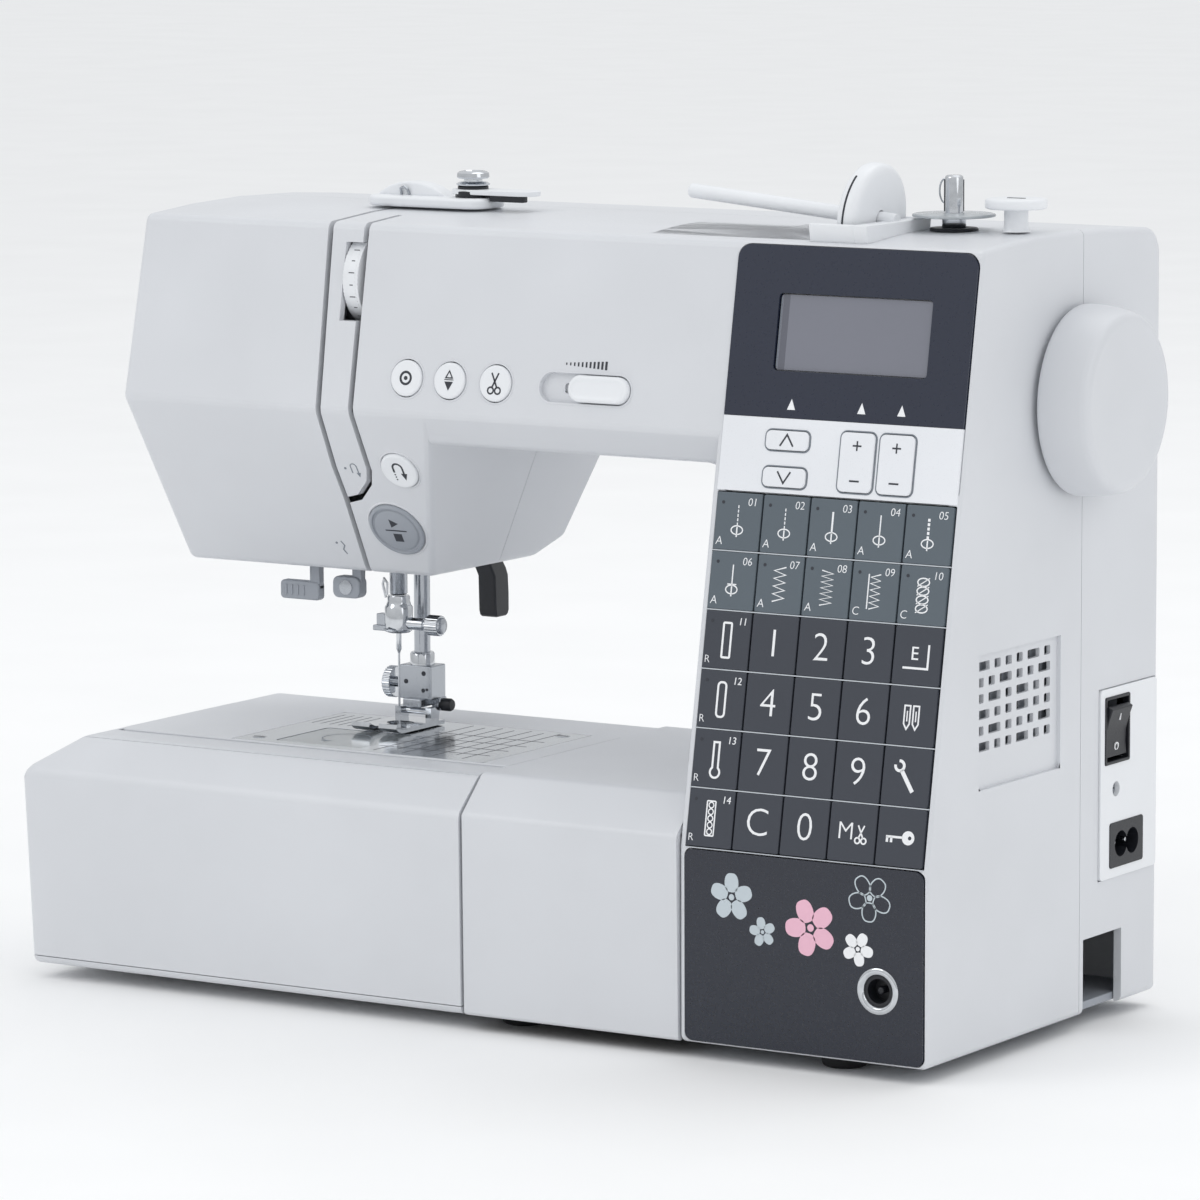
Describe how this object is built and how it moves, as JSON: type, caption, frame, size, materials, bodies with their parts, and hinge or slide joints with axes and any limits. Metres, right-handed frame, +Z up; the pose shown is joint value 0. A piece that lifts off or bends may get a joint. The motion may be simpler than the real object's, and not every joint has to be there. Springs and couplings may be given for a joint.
{
  "type": "sewing machine",
  "caption": "Electronic free-arm sewing machine with slide-off extension table, keypad column, handwheel, needle and presser mechanism.",
  "frame": {"origin": "middle of the machine's overall footprint, on the surface it stands on", "axes": "+X along the bed towards the handwheel, +Y to the back, +Z up"},
  "size_m": [0.402, 0.17, 0.3082],
  "materials": {
    "casing_white": "satin moulded ABS, cool white",
    "trim_white": "semi-gloss moulded white",
    "panel_slate": "glossy printed dark slate",
    "key_mid": "matt mid-grey rubberised keys",
    "key_dark": "matt dark grey rubberised keys",
    "display_glass": "grey liquid-crystal window",
    "key_silver": "pale silver keys",
    "black_plastic": "black moulded plastic",
    "grey_plastic": "grey moulded plastic",
    "steel": "ground steel",
    "chrome": "bright plating",
    "cast_metal": "as cast",
    "motor_steel": "painted steel can",
    "rubber": "matt black rubber",
    "clear_plastic": "clear moulded plastic",
    "board": "green solder resist"
  },
  "bodies": {
    "machine": {"front_cover": "casing_white", "face_cover": "casing_white", "rear_cover": "casing_white", "bed_cover": "casing_white", "base_plate": "grey_plastic", "machine_frame": "cast_metal", "foot_front_left": "rubber", "foot_front_right": "rubber", "foot_rear_left": "rubber", "foot_rear_right": "rubber", "control_panel": "panel_slate", "display_window": "display_glass", "lower_panel": "panel_slate", "socket_unit": "trim_white", "circuit_board": "board", "needle_plate": "steel", "drive_belt": "rubber", "motor": "motor_steel", "spool_pin": "trim_white", "bobbin_stopper": "trim_white", "thread_guide": "trim_white"},
    "extension_table": {"extension_table": "casing_white"},
    "accessory_lid": {"accessory_lid": "casing_white"},
    "key_row_1": {"key_row_1": "key_mid"},
    "key_row_2": {"key_row_2": "key_mid"},
    "key_row_3": {"key_row_3": "key_dark"},
    "key_row_4": {"key_row_4": "key_dark"},
    "key_row_5": {"key_row_5": "key_dark"},
    "key_row_6": {"key_row_6": "key_dark"},
    "arrow_keys": {"arrow_keys": "key_silver"},
    "width_key": {"width_key": "key_silver"},
    "length_key": {"length_key": "key_silver"},
    "stop_mode_button": {"stop_mode_button": "trim_white"},
    "needle_button": {"needle_button": "trim_white"},
    "cutter_button": {"cutter_button": "trim_white"},
    "reverse_button": {"reverse_button": "trim_white"},
    "start_button": {"start_button": "grey_plastic"},
    "speed_slider": {"speed_slider": "trim_white"},
    "tension_dial": {"tension_dial": "trim_white"},
    "power_switch": {"power_switch": "black_plastic"},
    "needle_bar": {"needle_bar": "steel", "needle_clamp": "chrome", "needle": "steel"},
    "presser_bar": {"presser_bar": "steel", "foot_holder": "chrome"},
    "presser_foot": {"presser_foot": "chrome"},
    "presser_lifter": {"presser_lifter": "black_plastic"},
    "threader_lever": {"threader_lever": "grey_plastic"},
    "take_up_lever": {"take_up_lever": "steel"},
    "bobbin_cover": {"bobbin_cover": "clear_plastic"},
    "feed_dog": {"feed_dog": "steel"},
    "hook": {"hook": "steel"},
    "bobbin": {"bobbin": "clear_plastic"},
    "main_shaft": {"main_shaft": "steel", "handwheel": "casing_white"},
    "lower_shaft": {"lower_shaft": "steel"},
    "motor_pulley": {"motor_pulley": "steel"},
    "spool_cap": {"spool_cap": "trim_white"},
    "bobbin_spindle": {"bobbin_spindle": "chrome"},
    "carry_handle": {"carry_handle": "casing_white"}
  },
  "joints": [
    {"name": "table_slide", "type": "slide", "parent": "machine", "child": "extension_table", "axis": [-1, 0, 0], "range_m": [0, 0.19]},
    {"name": "lid_hinge", "type": "hinge", "parent": "extension_table", "child": "accessory_lid", "pos_m": [-0.1, -0.084, 0.0086], "axis": [1, 0, 0], "range_deg": [0, 75]},
    {"name": "key_row_1_press", "type": "slide", "parent": "machine", "child": "key_row_1", "axis": [0, 0.9839, -0.179], "range_m": [0, 0.0012], "stiffness_N_per_m": 400},
    {"name": "key_row_2_press", "type": "slide", "parent": "machine", "child": "key_row_2", "axis": [0, 0.9839, -0.179], "range_m": [0, 0.0012], "stiffness_N_per_m": 400},
    {"name": "key_row_3_press", "type": "slide", "parent": "machine", "child": "key_row_3", "axis": [0, 0.9839, -0.179], "range_m": [0, 0.0012], "stiffness_N_per_m": 400},
    {"name": "key_row_4_press", "type": "slide", "parent": "machine", "child": "key_row_4", "axis": [0, 0.9839, -0.179], "range_m": [0, 0.0012], "stiffness_N_per_m": 400},
    {"name": "key_row_5_press", "type": "slide", "parent": "machine", "child": "key_row_5", "axis": [0, 0.9839, -0.179], "range_m": [0, 0.0012], "stiffness_N_per_m": 400},
    {"name": "key_row_6_press", "type": "slide", "parent": "machine", "child": "key_row_6", "axis": [0, 0.9839, -0.179], "range_m": [0, 0.0012], "stiffness_N_per_m": 400},
    {"name": "arrow_keys_press", "type": "slide", "parent": "machine", "child": "arrow_keys", "axis": [0, 0.9839, -0.179], "range_m": [0, 0.0012], "stiffness_N_per_m": 400},
    {"name": "width_key_rock", "type": "hinge", "parent": "machine", "child": "width_key", "pos_m": [0.1394, -0.05819, 0.20809], "axis": [1, 0, 0], "range_deg": [-4, 4], "stiffness_Nm_per_rad": 0.05},
    {"name": "length_key_rock", "type": "hinge", "parent": "machine", "child": "length_key", "pos_m": [0.1549, -0.05819, 0.20809], "axis": [1, 0, 0], "range_deg": [-4, 4], "stiffness_Nm_per_rad": 0.05},
    {"name": "stop_mode_button_press", "type": "slide", "parent": "machine", "child": "stop_mode_button", "axis": [0, 0.9839, -0.179], "range_m": [0, 0.001], "stiffness_N_per_m": 400},
    {"name": "needle_button_press", "type": "slide", "parent": "machine", "child": "needle_button", "axis": [0, 0.9839, -0.179], "range_m": [0, 0.001], "stiffness_N_per_m": 400},
    {"name": "cutter_button_press", "type": "slide", "parent": "machine", "child": "cutter_button", "axis": [0, 0.9839, -0.179], "range_m": [0, 0.001], "stiffness_N_per_m": 400},
    {"name": "reverse_button_press", "type": "slide", "parent": "machine", "child": "reverse_button", "axis": [0, 0.8434, 0.5373], "range_m": [0, 0.0015], "stiffness_N_per_m": 400},
    {"name": "start_button_press", "type": "slide", "parent": "machine", "child": "start_button", "axis": [0, 0.8434, 0.5373], "range_m": [0, 0.0015], "stiffness_N_per_m": 400},
    {"name": "speed_slide", "type": "slide", "parent": "machine", "child": "speed_slider", "axis": [1, 0, 0], "range_m": [-0.0125, 0]},
    {"name": "tension_turn", "type": "hinge", "parent": "machine", "child": "tension_dial", "pos_m": [-0.0756, -0.0342, 0.2605], "axis": [1, 0, 0], "range_deg": [-140, 140]},
    {"name": "power_rock", "type": "hinge", "parent": "machine", "child": "power_switch", "pos_m": [0.176, 0.05235, 0.1049], "axis": [0, 1, 0], "range_deg": [-16, 0]},
    {"name": "needle_slide", "type": "slide", "parent": "machine", "child": "needle_bar", "axis": [0, 0, 1], "range_m": [-0.028, 0]},
    {"name": "presser_slide", "type": "slide", "parent": "machine", "child": "presser_bar", "axis": [0, 0, 1], "range_m": [0, 0.0066]},
    {"name": "lifter_swing", "type": "hinge", "parent": "machine", "child": "presser_lifter", "pos_m": [-0.088, 0.0415, 0.172], "axis": [1, 0, 0], "range_deg": [0, 50]},
    {"name": "foot_tilt", "type": "hinge", "parent": "presser_bar", "child": "presser_foot", "pos_m": [-0.088, 0.009, 0.096], "axis": [-1, 0, 0], "range_deg": [0, 8]},
    {"name": "threader_slide", "type": "slide", "parent": "machine", "child": "threader_lever", "axis": [0, 0, -1], "range_m": [0, 0.03], "stiffness_N_per_m": 20, "springref_m": -0.01},
    {"name": "take_up_swing", "type": "hinge", "parent": "machine", "child": "take_up_lever", "pos_m": [-0.0857, -0.012, 0.243], "axis": [1, 0, 0], "range_deg": [-25, 25]},
    {"name": "bobbin_cover_tilt", "type": "hinge", "parent": "machine", "child": "bobbin_cover", "pos_m": [-0.093, -0.0148, 0.0909], "axis": [-1, 0, 0], "range_deg": [0, 18]},
    {"name": "feed_slide", "type": "slide", "parent": "machine", "child": "feed_dog", "axis": [0, 1, 0], "range_m": [-0.0018, 0.0018]},
    {"name": "hook_spin", "type": "hinge", "parent": "machine", "child": "hook", "pos_m": [-0.0925, -0.031, 0.07], "axis": [0, 0, 1], "continuous": true},
    {"name": "bobbin_spin", "type": "hinge", "parent": "machine", "child": "bobbin", "pos_m": [-0.0925, -0.031, 0.077], "axis": [0, 0, 1], "continuous": true},
    {"name": "handwheel_spin", "type": "hinge", "parent": "machine", "child": "main_shaft", "pos_m": [0.18, 0.0218, 0.225], "axis": [1, 0, 0], "continuous": true},
    {"name": "lower_shaft_spin", "type": "hinge", "parent": "machine", "child": "lower_shaft", "pos_m": [0.1, 0.008, 0.05], "axis": [1, 0, 0], "continuous": true},
    {"name": "motor_spin", "type": "hinge", "parent": "machine", "child": "motor_pulley", "pos_m": [0.154, 0.056, 0.118], "axis": [1, 0, 0], "continuous": true},
    {"name": "spool_cap_slide", "type": "slide", "parent": "machine", "child": "spool_cap", "axis": [-0.9955, 0, 0.0945], "range_m": [0, 0.065]},
    {"name": "bobbin_winder_spin", "type": "hinge", "parent": "machine", "child": "bobbin_spindle", "pos_m": [0.1435, 0, 0.28], "axis": [0, 0, 1], "continuous": true},
    {"name": "handle_swing", "type": "hinge", "parent": "machine", "child": "carry_handle", "pos_m": [0, 0.081, 0.262], "axis": [1, 0, 0], "range_deg": [0, 180]}
  ],
  "couplings": [
    {"joint": "lower_shaft_spin", "follows": "handwheel_spin", "ratio": 1},
    {"joint": "motor_spin", "follows": "handwheel_spin", "ratio": 3},
    {"joint": "hook_spin", "follows": "handwheel_spin", "ratio": 2},
    {"joint": "lifter_swing", "follows": "presser_slide", "rad_per_m": 132}
  ]
}
